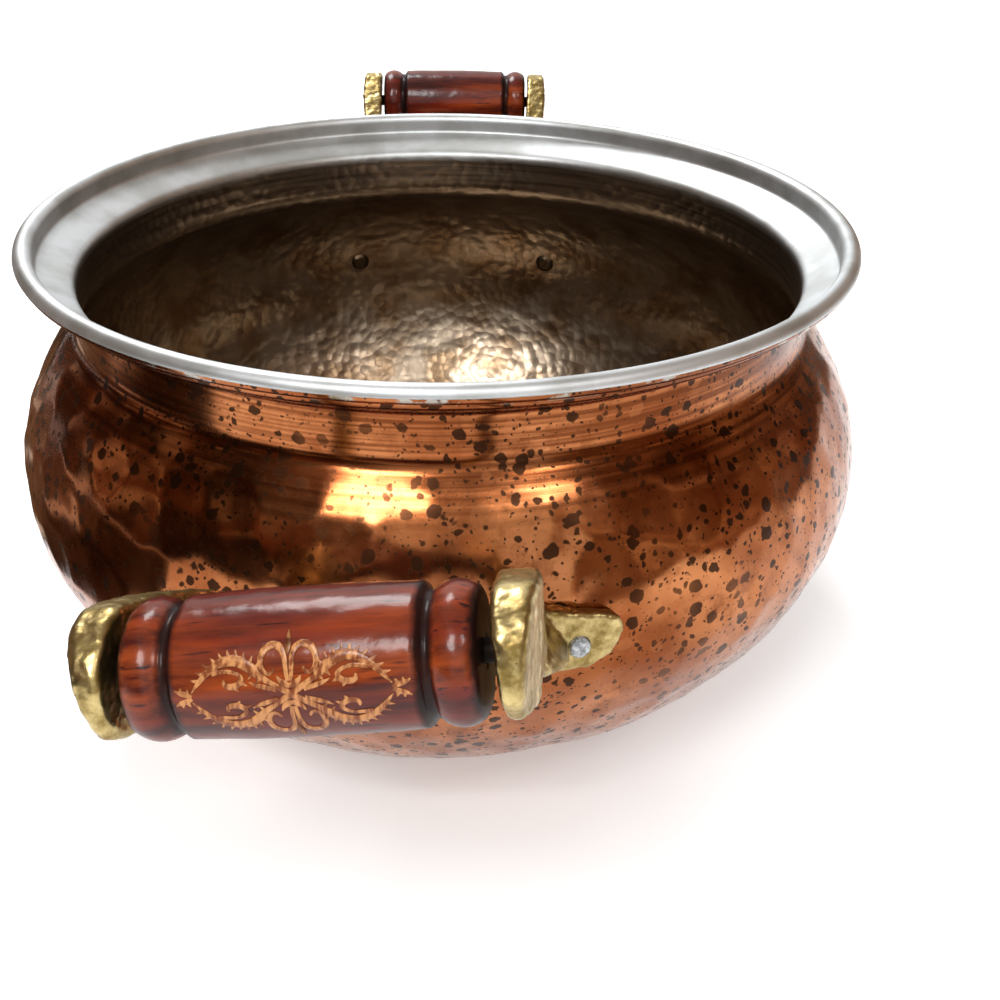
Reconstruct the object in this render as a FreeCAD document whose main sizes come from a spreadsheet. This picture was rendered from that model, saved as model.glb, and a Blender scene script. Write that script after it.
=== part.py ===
import FreeCAD, Part
import os
from math import acos, atan2, cos, degrees, hypot, radians, sin, sqrt

import Sketcher

# Hammered copper stockpot of the handi kind, with two turned wooden grips.
# Frame: the pot's axis is Z and its flat base lies on z = 0, with the origin at the base's centre.
# The front handle is on the -Y side and the back handle on the +Y side. Lengths are in millimetres.

doc = FreeCAD.newDocument("Stockpot")
sheet = doc.addObject("Spreadsheet::Sheet", "Sizes")

# Driving dimensions
driving = [
    # copper shell, measured on its outer face
    ("belly_radius", 149.0, "widest radius of the belly"),
    ("base_round", 94.5, "radius of the arc from the flat base up to the flank"),
    ("belly_sink", 13.0, "how far the widest place lies below the centre of the base arc"),
    ("belly_round", 52.0, "radius of the arc just below the widest place"),
    ("shoulder_round", 67.0, "radius of the arc from the widest place to the neck"),
    ("neck_inset", 24.4, "how far the neck lies inside the belly"),
    ("neck_round", 8.0, "hollow radius between shoulder and neck"),
    ("neck_length", 11.0, "straight height of the neck"),
    ("throat_round", 2.0, "bend from the neck into the lid ledge"),
    ("ledge_slope", 30.0, "slope of the lid ledge, in degrees"),
    ("ledge_length", 10.0, "straight width of the lid ledge along its slope"),
    ("step_round", 3.0, "bend from the ledge up into the step wall"),
    ("step_length", 3.6, "straight height of the step wall, up to the lip's centre line"),
    ("copper_sheet", 1.2, "thickness of the copper"),
    ("tin_coat", 0.2, "thickness of the tin, drawn thicker than the real coat"),
    ("wire_radius", 1.5, "radius of the wire in the rolled lip"),
    ("wire_fit", 0.1, "clearance round the wire"),
    # handles, measured in the handle's own frame, whose height is that of the grip's axis
    ("grip_out", 66.9, "distance of the grip's axis outside the belly's widest radius"),
    ("front_grip_height", 140.6, "height of the front grip's axis above the base"),
    ("back_grip_height", 151.3, "height of the back grip's axis above the base"),
    ("front_turn", 7.15, "how far the front handle sits left of the front, in degrees"),
    ("back_turn", 1.63, "how far the back handle sits right of the back, in degrees"),
    ("front_tilt", 8.4, "how far the front handle leans, right side up, in degrees"),
    # turned grips
    ("grip_half", 34.9, "half the length of the wooden grip"),
    ("barrel_half", 23.5, "half the length of the barrel between the grooves"),
    ("barrel_radius", 14.4, "radius of the barrel at its ends"),
    ("barrel_crown", 0.45, "how much fatter the barrel is at its middle"),
    ("groove_width", 2.6, "width of the turned groove"),
    ("groove_depth", 1.3, "depth of the turned groove"),
    ("bead_radius", 14.4, "radius of the end bead at its middle"),
    ("end_radius", 12.9, "radius of the grip's end face"),
    # steel rods
    ("rod_radius", 2.5, "radius of the rod through the grip"),
    ("rod_fit", 0.1, "radial clearance on which the grip turns"),
    ("socket_depth", 5.0, "depth of the blind socket in the bracket"),
    ("socket_fit", 0.05, "clearance of the rod in its socket"),
    # cast brackets
    ("front_gap", 2.0, "gap between the front grip's end and its brackets, at their top"),
    ("back_gap", 0.7, "gap between the back grip's end and its brackets, at their top"),
    ("arm_width", 10.4, "width of the arm at its top edge"),
    ("inner_flank", 2.8, "how much the inner flank draws in towards the lower edge"),
    ("outer_flank", 6.4, "how much the outer flank draws in towards the lower edge"),
    ("flank_spare", 4.0, "metal on each side of the arm for the flanks to be cut from"),
    ("flank_half", 20.0, "half the height over which the flanks draw in, across the arm"),
    ("thin_start", 4.0, "how far behind the grip's axis the arm starts to get thinner"),
    ("thin_depth", 5.9, "how much thinner the arm is at its root"),
    ("nose_radius", 13.3, "radius of the arm's rounded nose, about the grip's axis"),
    ("arm_crown", 215.0, "radius of the arm's arched top edge"),
    ("root_sink", 12.0, "how far inside the belly's widest radius the arm's root starts, untrimmed"),
    ("root_top", 48.0, "depth of the root's upper corner below the grip's axis"),
    ("root_bottom", 65.5, "depth of the root's lower corner below the grip's axis"),
    ("flank_cut", 900.0, "length of the cuts that draw in the arm's flanks"),
    ("arm_edge", 1.2, "rounding of the arm's edges"),
    ("seat_gap", 0.1, "gap between the bracket and the belly"),
    # tabs, measured from the rivet's centre
    ("tab_thickness", 4.0, "height of the tab's outer face above the belly at the rivet"),
    ("tab_depth", 12.0, "thickness of the tab before the belly's outer face trims it"),
    ("tab_root", 5.5, "distance from the rivet back into the arm"),
    ("tab_rise", 13.0, "height of the upper edge at the arm"),
    ("tab_corner", 10.4, "distance from the rivet to the upper edge's far end"),
    ("tab_shoulder", 7.1, "height of the upper edge's far end"),
    ("tab_nose", 4.0, "radius of the rounded corner"),
    ("tab_tip", 12.4, "distance from the rivet to the tip"),
    ("tab_point", 3.4, "height of the tip"),
    ("tab_curve", 15.0, "radius of the curve from the tip to the lower edge"),
    ("tab_heel", 4.3, "distance from the rivet to where the lower edge begins"),
    ("tab_drop", 6.6, "depth of the lower edge"),
    # rivets
    ("rivet_side", 44.2, "distance of the rivet from the handle's middle"),
    ("rivet_below", 57.6, "depth of the rivet below the grip's axis"),
    ("shank_radius", 2.2, "radius of the rivet's shank"),
    ("shank_fit", 0.05, "clearance of the shank in its holes"),
    ("hole_length", 16.0, "length of the drill's cut through wall and tab"),
    ("head_radius", 3.3, "radius of the hammered outer head"),
    ("head_flat", 2.6, "radius of the outer head's flattened top"),
    ("head_height", 1.1, "height of the outer head"),
    ("inner_head_radius", 4.2, "radius of the head inside the pot"),
    ("inner_head_flat", 2.7, "radius of the inner head's flattened top"),
    ("inner_head_height", 1.4, "height of the head inside the pot"),
    ("head_gap", 0.22, "gap under the inner head, which lies on a curved wall"),
]

size = {}
for row, (name, value, note) in enumerate(driving, start=1):
    sheet.set("A%d" % row, name)
    sheet.set("B%d" % row, str(value))
    sheet.set("C%d" % row, note)
    sheet.setAlias("B%d" % row, name)
doc.recompute()
for name, value, note in driving:
    size[name] = float(sheet.get(name))


def measure(text):
    """Number and bound expression of a sum such as "belly_radius - 2*copper_sheet"."""
    total = 0.0
    sign = 1.0
    words = []
    for word in text.split():
        if word in ("+", "-"):
            sign = 1.0 if word == "+" else -1.0
            words.append(word)
            continue
        product = sign
        factors = []
        for factor in word.split("*"):
            if factor in size:
                product *= size[factor]
                factors.append("Sizes." + factor)
            else:
                product *= float(factor)
                factors.append(factor)
        total += product
        sign = 1.0
        words.append("*".join(factors))
    return total, " ".join(words)


# Sketches

START, END, CENTRE = 1, 2, 3


class Drawing:
    """A sketch on one of a body's origin planes, whose sizes are bound to the sheet."""

    def __init__(self, body, name, role, placement=None):
        self.sketch = body.newObject("Sketcher::SketchObject", name)
        plane = [item for item in body.Origin.OriginFeatures if item.Role == role][0]
        self.sketch.AttachmentSupport = [(plane, "")]
        self.sketch.MapMode = "FlatFace"
        if placement is not None:
            self.sketch.AttachmentOffset = placement

    def line(self, a, b):
        return self.sketch.addGeometry(Part.LineSegment(point(a), point(b)), False)

    def arc(self, centre, radius, first, last):
        """Arc that runs anticlockwise from the angle first to the angle last, in degrees."""
        circle = Part.Circle(point(centre), FreeCAD.Vector(0, 0, 1), radius)
        return self.sketch.addGeometry(Part.ArcOfCircle(circle, radians(first), radians(last)), False)

    def circle(self, centre, radius):
        ring = Part.Circle(point(centre), FreeCAD.Vector(0, 0, 1), radius)
        return self.sketch.addGeometry(ring, False)

    def rule(self, kind, *items):
        self.sketch.addConstraint(Sketcher.Constraint(kind, *items))

    def datum(self, kind, items, text):
        value, expression = measure(text)
        if kind == "Angle":
            value = radians(value)
        index = self.sketch.addConstraint(Sketcher.Constraint(kind, *items, value))
        self.sketch.setExpression("Constraints[%d]" % index, expression)

    def place(self, item, across=None, up=None):
        """Give a point's two coordinates as bound sums."""
        if across is not None:
            self.datum("DistanceX", (-1, START) + item, across)
        if up is not None:
            self.datum("DistanceY", (-1, START) + item, up)

    def on_level(self, *item):
        """Keep a point on the sketch's horizontal axis."""
        self.rule("PointOnObject", *item, -1)

    def on_upright(self, *item):
        """Keep a point on the sketch's vertical axis."""
        self.rule("PointOnObject", *item, -2)

    def at_origin(self, *item):
        self.rule("Coincident", *item, -1, START)


def point(pair):
    return FreeCAD.Vector(pair[0], pair[1], 0)


def polar(centre, radius, angle):
    """The point at an angle in degrees on a circle."""
    return centre[0] + radius * cos(radians(angle)), centre[1] + radius * sin(radians(angle))


# Shape of the pot's wall
# The wall is a chain of arcs and lines, each tangent to the next. A face that lies deeper in
# the wall is the same chain with its radii smaller or larger by that depth.

flank_turn = degrees(acos(size["belly_sink"] / (size["base_round"] - size["belly_round"])))
shoulder_turn = degrees(acos(1 - size["neck_inset"] / (size["shoulder_round"] + size["neck_round"])))
belly_height = size["base_round"] - size["belly_sink"]
base_radius = (size["belly_radius"] - size["belly_round"]
               - (size["base_round"] - size["belly_round"]) * sin(radians(flank_turn)))
belly_centre = (size["belly_radius"] - size["belly_round"], belly_height)
shoulder_centre = (size["belly_radius"] - size["shoulder_round"], belly_height)
neck_radius = size["belly_radius"] - size["neck_inset"]
neck_foot = (belly_height
             + (size["shoulder_round"] + size["neck_round"]) * sin(radians(shoulder_turn)))
neck_head = neck_foot + size["neck_length"]
slope_sin = sin(radians(size["ledge_slope"]))
slope_cos = cos(radians(size["ledge_slope"]))
bend_rounds = size["throat_round"] + size["step_round"]
wall_radius = neck_radius + bend_rounds * (1 - slope_sin) + size["ledge_length"] * slope_cos
step_foot = neck_head + bend_rounds * slope_cos + size["ledge_length"] * slope_sin
lip_height = step_foot + size["step_length"]
lip_centre = (wall_radius + size["wire_radius"], lip_height)
LIP_RADIUS = ("Sizes.belly_radius - Sizes.neck_inset + Sizes.wire_radius"
              " + (Sizes.throat_round + Sizes.step_round) * (1 - sin(Sizes.ledge_slope))"
              " + Sizes.ledge_length * cos(Sizes.ledge_slope)")


def draw_wall(drawing, less="", more=""):
    """Draw the wall's chain from the axis to the top of the step wall.

    less and more are the same depth as sums, to take from or add to a size.
    Returns the base line and the step wall's line.
    """
    inset = measure(more)[0]
    base_centre = (base_radius, size["base_round"])
    neck_centre = (neck_radius + size["neck_round"], neck_foot)
    throat_centre = (neck_radius + size["throat_round"], neck_head)
    step_centre = (wall_radius - size["step_round"], step_foot)
    slope = size["ledge_slope"]
    ledge_start = polar(throat_centre, size["throat_round"] + inset, 90 + slope)
    ledge_end = polar(step_centre, size["step_round"] - inset, slope - 90)

    floor = drawing.line((0, inset), (base_radius, inset))
    base = drawing.arc(base_centre, size["base_round"] - inset, -90, flank_turn - 90)
    belly = drawing.arc(belly_centre, size["belly_round"] - inset, flank_turn - 90, 0)
    shoulder = drawing.arc(shoulder_centre, size["shoulder_round"] - inset, 0, shoulder_turn)
    hollow = drawing.arc(neck_centre, size["neck_round"] + inset, 180, 180 + shoulder_turn)
    neck = drawing.line((neck_radius - inset, neck_foot), (neck_radius - inset, neck_head))
    throat = drawing.arc(throat_centre, size["throat_round"] + inset, 90 + slope, 180)
    ledge = drawing.line(ledge_start, ledge_end)
    step = drawing.arc(step_centre, size["step_round"] - inset, slope - 90, 0)
    wall = drawing.line((wall_radius - inset, step_foot), (wall_radius - inset, lip_height))

    drawing.on_upright(floor, START)
    drawing.rule("Horizontal", floor)
    if more:
        drawing.place((floor, START), up=more)
    else:
        drawing.on_level(floor, START)
    drawing.rule("Tangent", floor, END, base, START)
    drawing.rule("Tangent", base, END, belly, START)
    drawing.rule("Tangent", belly, END, shoulder, START)
    drawing.rule("Tangent", shoulder, END, hollow, END)
    drawing.rule("Tangent", hollow, START, neck, START)
    drawing.rule("Tangent", neck, END, throat, END)
    drawing.rule("Tangent", throat, START, ledge, START)
    drawing.rule("Tangent", ledge, END, step, START)
    drawing.rule("Tangent", step, END, wall, START)
    drawing.rule("Horizontal", belly, CENTRE, belly, END)
    drawing.rule("Vertical", neck)
    drawing.rule("Vertical", wall)
    drawing.place((belly, END), across="belly_radius" + less)
    drawing.place((neck, START), across="belly_radius - neck_inset" + less)
    drawing.datum("DistanceY", (belly, CENTRE, base, CENTRE), "belly_sink")
    drawing.datum("Radius", (base,), "base_round" + less)
    drawing.datum("Radius", (belly,), "belly_round" + less)
    drawing.datum("Radius", (shoulder,), "shoulder_round" + less)
    drawing.datum("Radius", (hollow,), "neck_round" + more)
    drawing.datum("Radius", (throat,), "throat_round" + more)
    drawing.datum("Radius", (step,), "step_round" + less)
    drawing.datum("DistanceY", (neck, START, neck, END), "neck_length")
    drawing.datum("Distance", (ledge,), "ledge_length")
    drawing.datum("Angle", (ledge,), "ledge_slope")
    drawing.datum("DistanceY", (wall, START, wall, END), "step_length")
    return floor, wall


def draw_roll(drawing, wall, first, radius):
    """The arc round the lip's centre line, from the angle first over the top to the wall."""
    roll = drawing.arc(lip_centre, measure(radius)[0], first, 180)
    drawing.rule("Tangent", wall, END, roll, END)
    drawing.datum("Radius", (roll,), radius)
    return roll


def join_ends(drawing, inner, outer, inner_end, outer_end, direction):
    """A straight line between the ends of two arcs, in line with their centres."""
    points = [drawing.sketch.getPoint(inner, inner_end), drawing.sketch.getPoint(outer, outer_end)]
    cap = drawing.line((points[0].x, points[0].y), (points[1].x, points[1].y))
    drawing.rule("Coincident", cap, START, inner, inner_end)
    drawing.rule("Coincident", cap, END, outer, outer_end)
    drawing.rule(direction, inner, CENTRE, inner, inner_end)
    drawing.rule(direction, outer, CENTRE, outer, outer_end)


def close_on_axis(drawing, lower, upper):
    """Close a profile along the pot's axis, between the starts of two base lines."""
    points = [drawing.sketch.getPoint(lower, START), drawing.sketch.getPoint(upper, START)]
    side = drawing.line((0, points[0].y), (0, points[1].y))
    drawing.rule("Coincident", side, START, lower, START)
    drawing.rule("Coincident", side, END, upper, START)


def revolve(body, name, drawing, kind="PartDesign::Revolution", axis="V_Axis"):
    feature = body.newObject(kind, name)
    feature.Profile = drawing.sketch
    feature.ReferenceAxis = (drawing.sketch, [axis])
    feature.Angle = 360
    drawing.sketch.Visibility = False
    return feature


def new_body(label, placement=None):
    body = doc.addObject("PartDesign::Body", label)
    body.Label = label
    if placement is not None:
        body.Placement = placement
    return body


# Places of the handles
# A handle's own frame has its origin on the pot's axis at the height of the grip's axis.
# X runs along the grip, Y away from the pot and Z up.

FRONT, BACK = "front", "back"
GRIP_REACH = "belly_radius + grip_out"
ROOT_REACH = "belly_radius - root_sink"
grip_reach = measure(GRIP_REACH)[0]
turns = {FRONT: 180 - size["front_turn"], BACK: -size["back_turn"]}
tilts = {FRONT: size["front_tilt"], BACK: 0.0}
heights = {FRONT: size["front_grip_height"], BACK: size["back_grip_height"]}
# Left and right are as seen by someone who stands in front of the pot.
sides = {(FRONT, "left"): 1, (FRONT, "right"): -1, (BACK, "left"): -1, (BACK, "right"): 1}


def rotation(axis, angle):
    return FreeCAD.Rotation(FreeCAD.Vector(*axis), angle)


def handle_place(end):
    turned = FreeCAD.Placement(FreeCAD.Vector(0, 0, heights[end]), rotation((0, 0, 1), turns[end]))
    return turned.multiply(FreeCAD.Placement(FreeCAD.Vector(), rotation((0, 1, 0), tilts[end])))


def belly_point(height):
    """Radius of the belly's outer face at a height, and the upward slope of its normal."""
    centre = shoulder_centre if height > belly_height else belly_centre
    bend = size["shoulder_round"] if height > belly_height else size["belly_round"]
    rise = (height - belly_height) / bend
    return centre[0] + bend * sqrt(1 - rise * rise), degrees(atan2(rise, sqrt(1 - rise * rise)))


def tab_place(end, side):
    """Frame on the belly at the rivet, in the handle's frame: Z out of the wall, Y up.

    X points from the arm to the tab's tip when side is -1, and the other way when it is 1.
    """
    across = side * size["rivet_side"]
    below = -size["rivet_below"]
    lean = radians(tilts[end])
    height = heights[end] - across * sin(lean) + below * cos(lean)
    radius, slope = belly_point(height)
    pot_across = across * cos(lean) + below * sin(lean)
    reach = sqrt(radius * radius - pot_across * pot_across)
    round_pot = degrees(atan2(pot_across, reach))
    # The frame stands in the untilted handle first, then leans back with it.
    outward = rotation((0, 0, 1), -round_pot).multiply(rotation((1, 0, 0), slope))
    upright = outward.multiply(rotation((0, 0, 1), 180)).multiply(rotation((1, 0, 0), 90))
    leaned = rotation((0, 1, 0), -tilts[end]).multiply(upright)
    return FreeCAD.Placement(FreeCAD.Vector(across, reach, below), leaned)


# Copper shell: one sheet from the base to the lip, rolled over the wire

def drill_rivet_holes(body):
    """Cut the four rivets' holes through the wall."""
    for (end, hand), side in sides.items():
        place = handle_place(end).multiply(tab_place(end, side))
        hole = Drawing(body, "%s_%s_hole_sketch_%s" % (end, hand, body.Name), "XY_Plane", place)
        ring = hole.circle((0, 0), measure("shank_radius + shank_fit")[0])
        hole.at_origin(ring, CENTRE)
        hole.datum("Radius", (ring,), "shank_radius + shank_fit")
        cut = body.newObject("PartDesign::Pocket", "%s_%s_hole_%s" % (end, hand, body.Name))
        cut.Profile = hole.sketch
        cut.SideType = "Symmetric"
        cut.setExpression("Length", "Sizes.hole_length")
        hole.sketch.Visibility = False


copper = new_body("copper_body")
shell = Drawing(copper, "shell_sketch", "XZ_Plane")
outer_floor, outer_wall = draw_wall(shell)
inner_floor, inner_wall = draw_wall(shell, " - copper_sheet", " + copper_sheet")
under_roll = draw_roll(shell, outer_wall, -90, "wire_radius")
over_roll = draw_roll(shell, inner_wall, -90, "wire_radius + copper_sheet")
join_ends(shell, under_roll, over_roll, START, START, "Vertical")
close_on_axis(shell, outer_floor, inner_floor)
revolve(copper, "shell", shell)
drill_rivet_holes(copper)

# Tin coat: over the whole inside, the lid ledge and the top of the lip

tin = new_body("tin_lining")
coat = Drawing(tin, "coat_sketch", "XZ_Plane")
wetted_floor, wetted_wall = draw_wall(coat, " - copper_sheet", " + copper_sheet")
bright_floor, bright_wall = draw_wall(coat, " - copper_sheet - tin_coat", " + copper_sheet + tin_coat")
wetted_roll = draw_roll(coat, wetted_wall, 0, "wire_radius + copper_sheet")
bright_roll = draw_roll(coat, bright_wall, 0, "wire_radius + copper_sheet + tin_coat")
join_ends(coat, wetted_roll, bright_roll, START, START, "Horizontal")
close_on_axis(coat, wetted_floor, bright_floor)
revolve(tin, "coat", coat)
drill_rivet_holes(tin)

# Wire inside the rolled lip

wire = doc.addObject("Part::Torus", "rim_wire")
wire.Label = "rim_wire"
wire.setExpression("Radius1", LIP_RADIUS)
wire.setExpression("Radius2", "Sizes.wire_radius - Sizes.wire_fit")
wire.Placement = FreeCAD.Placement(FreeCAD.Vector(0, 0, lip_height), FreeCAD.Rotation())

# Cast brackets: an arched arm with a rounded nose, and a tab that lies on the belly

arm_inner = {FRONT: "grip_half + front_gap", BACK: "grip_half + back_gap"}


def draw_arm(body):
    """Side outline of the arm: nose round the grip's axis, straight below and arched above."""
    reach, nose, crown = grip_reach, size["nose_radius"], size["arm_crown"]
    root = measure(ROOT_REACH)[0]
    foot = (root, -size["root_bottom"])
    top = (root, -size["root_top"])
    # The lower edge runs from the foot and touches the nose.
    run = reach - foot[0]
    span = hypot(run, foot[1])
    touch = degrees(atan2(-foot[1], run)) - degrees(atan2(nose, sqrt(span * span - nose * nose))) - 90
    # The arched edge has its centre below: crown away from the top corner, crown - nose from the nose.
    gap = hypot(reach - top[0], -top[1])
    along = (crown * crown - (crown - nose) ** 2 + gap * gap) / (2 * gap)
    aside = sqrt(crown * crown - along * along)
    ahead = ((reach - top[0]) / gap, -top[1] / gap)
    centre = (top[0] + along * ahead[0] + aside * ahead[1], top[1] + along * ahead[1] - aside * ahead[0])
    meet = degrees(atan2(-centre[1], reach - centre[0]))
    start = degrees(atan2(top[1] - centre[1], top[0] - centre[0]))

    outline = Drawing(body, body.Name + "_side", "YZ_Plane")
    face = outline.arc((reach, 0), nose, touch, meet)
    edge = outline.arc(centre, crown, meet, start)
    back = outline.line(top, foot)
    lower = outline.line(foot, polar((reach, 0), nose, touch))
    outline.place((face, CENTRE), across=GRIP_REACH)
    outline.on_level(face, CENTRE)
    outline.datum("Radius", (face,), "nose_radius")
    outline.datum("Radius", (edge,), "arm_crown")
    outline.rule("Tangent", face, END, edge, START)
    outline.rule("Coincident", edge, END, back, START)
    outline.rule("Coincident", back, END, lower, START)
    outline.rule("Tangent", lower, END, face, START)
    outline.place((back, START), across=ROOT_REACH, up="- root_top")
    outline.place((back, END), across=ROOT_REACH, up="- root_bottom")
    return outline


def arm_slope():
    """Direction of the arm from its root to the grip's axis, in degrees."""
    middle = (size["root_top"] + size["root_bottom"]) / 2
    return degrees(atan2(middle, grip_reach - measure(ROOT_REACH)[0]))


def cut_flank(body, name, side, top, bottom, away):
    """Cut one flank of the arm, so that it narrows from its top edge to its lower edge."""
    # The sketch stands square to the arm, with its origin on the grip's axis.
    turn = rotation((1, 0, 0), arm_slope())
    offset = FreeCAD.Placement(FreeCAD.Vector(0, 0, -grip_reach), turn)
    flank = Drawing(body, name + "_sketch", "XZ_Plane", offset)
    flank.sketch.setExpression("AttachmentOffset.Base.z", "- " + measure(GRIP_REACH)[1].replace("+", "-"))
    corners = [(top, "flank_half"), (top + away, "flank_half"),
               (top + away, "- flank_half"), (bottom, "- flank_half")]
    close_outline(flank, [(signed(across, side), up) for across, up in corners])
    cut = body.newObject("PartDesign::Pocket", name)
    cut.Profile = flank.sketch
    cut.SideType = "Symmetric"
    cut.setExpression("Length", "Sizes.flank_cut")
    flank.sketch.Visibility = False
    return cut


def close_outline(drawing, corners):
    """Draw a closed outline of straight lines through corners given as bound sums."""
    spots = [(measure(across)[0], measure(up)[0]) for across, up in corners]
    lines = []
    for index, spot in enumerate(spots):
        lines.append(drawing.line(spot, spots[(index + 1) % len(spots)]))
    for index, line in enumerate(lines):
        drawing.rule("Coincident", line, END, lines[(index + 1) % len(lines)], START)
        drawing.place((line, START), across=corners[index][0], up=corners[index][1])


def signed(text, side):
    """The same sum, with every sign turned round for the other side."""
    if side > 0:
        return text
    words = ["+"] + text.split() if text[0] != "-" else text.split()
    words = [{"+": "-", "-": "+"}.get(word, word) for word in words]
    return " ".join(words[1:] if words[0] == "+" else words)


def draw_tab(body, end, side):
    """Outline of the tab about the rivet. across is positive towards the tip."""
    place = tab_place(end, side)
    lift = FreeCAD.Placement(FreeCAD.Vector(0, 0, size["tab_thickness"]), FreeCAD.Rotation())
    outline = Drawing(body, body.Name + "_tab_sketch", "XY_Plane", place.multiply(lift))
    way = -side
    corners = [
        ("- tab_root", "tab_rise"),
        ("tab_corner", "tab_shoulder"),
        ("tab_tip", "tab_point"),
        ("tab_heel", "- tab_drop"),
        ("- tab_root", "- tab_drop"),
    ]
    bends = {1: "tab_nose", 2: "tab_curve"}
    spots = []
    for across, up in corners:
        spots.append((signed(across, way), up))
    parts = []
    for index, (across, up) in enumerate(spots):
        following = spots[(index + 1) % len(spots)]
        a = (measure(across)[0], measure(up)[0])
        b = (measure(following[0])[0], measure(following[1])[0])
        if index in bends:
            parts.append(bend_between(outline, a, b, bends[index], way))
        else:
            parts.append((outline.line(a, b), START, END))
    for index, (item, first, last) in enumerate(parts):
        following = parts[(index + 1) % len(parts)]
        outline.rule("Coincident", item, last, following[0], following[1])
        outline.place((item, first), across=spots[index][0], up=spots[index][1])
    return outline


def bend_between(outline, a, b, radius, way):
    """An outward arc between two points, with the ends named in the order a, b."""
    value = measure(radius)[0]
    half = hypot(b[0] - a[0], b[1] - a[1]) / 2
    rise = sqrt(value * value - half * half)
    ahead = ((b[0] - a[0]) / (2 * half), (b[1] - a[1]) / (2 * half))
    # Going clockwise round the tab, the inside lies on the right.
    centre = ((a[0] + b[0]) / 2 + way * rise * ahead[1], (a[1] + b[1]) / 2 - way * rise * ahead[0])
    at_a = degrees(atan2(a[1] - centre[1], a[0] - centre[0]))
    at_b = degrees(atan2(b[1] - centre[1], b[0] - centre[0]))
    if way > 0:
        item = outline.arc(centre, value, at_b, at_a)
        ends = (item, END, START)
    else:
        item = outline.arc(centre, value, at_a, at_b)
        ends = (item, START, END)
    outline.datum("Radius", (item,), radius)
    return ends


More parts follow.
